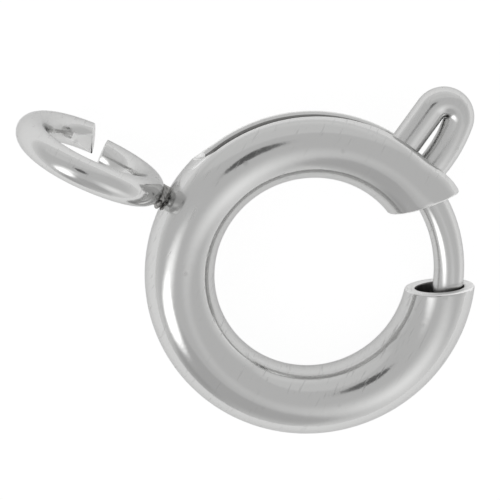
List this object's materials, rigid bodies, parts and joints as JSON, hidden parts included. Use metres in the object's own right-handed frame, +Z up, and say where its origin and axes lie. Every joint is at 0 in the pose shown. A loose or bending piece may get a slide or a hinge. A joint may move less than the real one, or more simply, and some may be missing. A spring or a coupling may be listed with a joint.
{
  "type": "spring ring clasp",
  "caption": "Round jewellery clasp: a slotted steel tube ring shut by a sprung wire bolt that is bent up into a trigger, with a soldered open wire loop for the chain.",
  "frame": {"origin": "on the surface that the clasp lies on, under the middle of its outline", "axes": "+X from the chain loop towards the ring's far side, +Z up from the surface; the clasp lies on its side, with the ring leaning a few degrees because the loop's rim hangs lower than the ring's"},
  "size_m": [0.0088, 0.0072, 0.0028],
  "materials": {
    "polished_steel": "polished, with fine handling marks",
    "bolt_steel": "polished drawn wire",
    "spring_steel": "bright spring wire"
  },
  "bodies": {
    "case": {"ring_case": "polished_steel", "spring": "spring_steel"},
    "bolt": {"bolt": "bolt_steel"}
  },
  "joints": [
    {"name": "bolt_travel", "type": "hinge", "parent": "case", "child": "bolt", "pos_m": [0.00144, -0.00056, 0.0009], "axis": [0.1147, 0, 0.9934], "range_deg": [0, 44], "stiffness_Nm_per_rad": 0.003, "deforming": ["spring"]}
  ]
}
